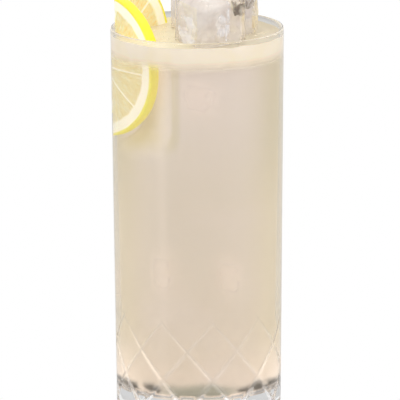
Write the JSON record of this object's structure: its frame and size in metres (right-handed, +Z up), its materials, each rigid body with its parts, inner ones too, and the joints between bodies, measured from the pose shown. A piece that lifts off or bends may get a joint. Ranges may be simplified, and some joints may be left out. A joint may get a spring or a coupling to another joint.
{
  "type": "glass of lemonade",
  "caption": "Tall straight glass with slanting cuts round its lower part, filled with cloudy lemonade under a froth layer, with standing lemon slices and ice.",
  "frame": {"origin": "centre of the foot, on the plane that the glass stands on", "axes": "+Z up along the axis of the glass, -Y towards the viewer of the front, +X to the viewer's right"},
  "size_m": [0.066, 0.066, 0.1711],
  "materials": {
    "glass": "clear polished glass with cut grooves",
    "lemonade": "cloudy pale liquid",
    "froth": "fine pale foam",
    "lemon": "wet cut lemon with yellow rind and white pith",
    "ice": "clear melting ice"
  },
  "bodies": {
    "root": {"glass": "glass", "lemonade": "lemonade", "froth": "froth", "lemon_slice_front": "lemon", "lemon_slice_back": "lemon", "ice_cube_left": "ice", "ice_cube_right": "ice", "ice_cube_back": "ice"}
  },
  "joints": []
}
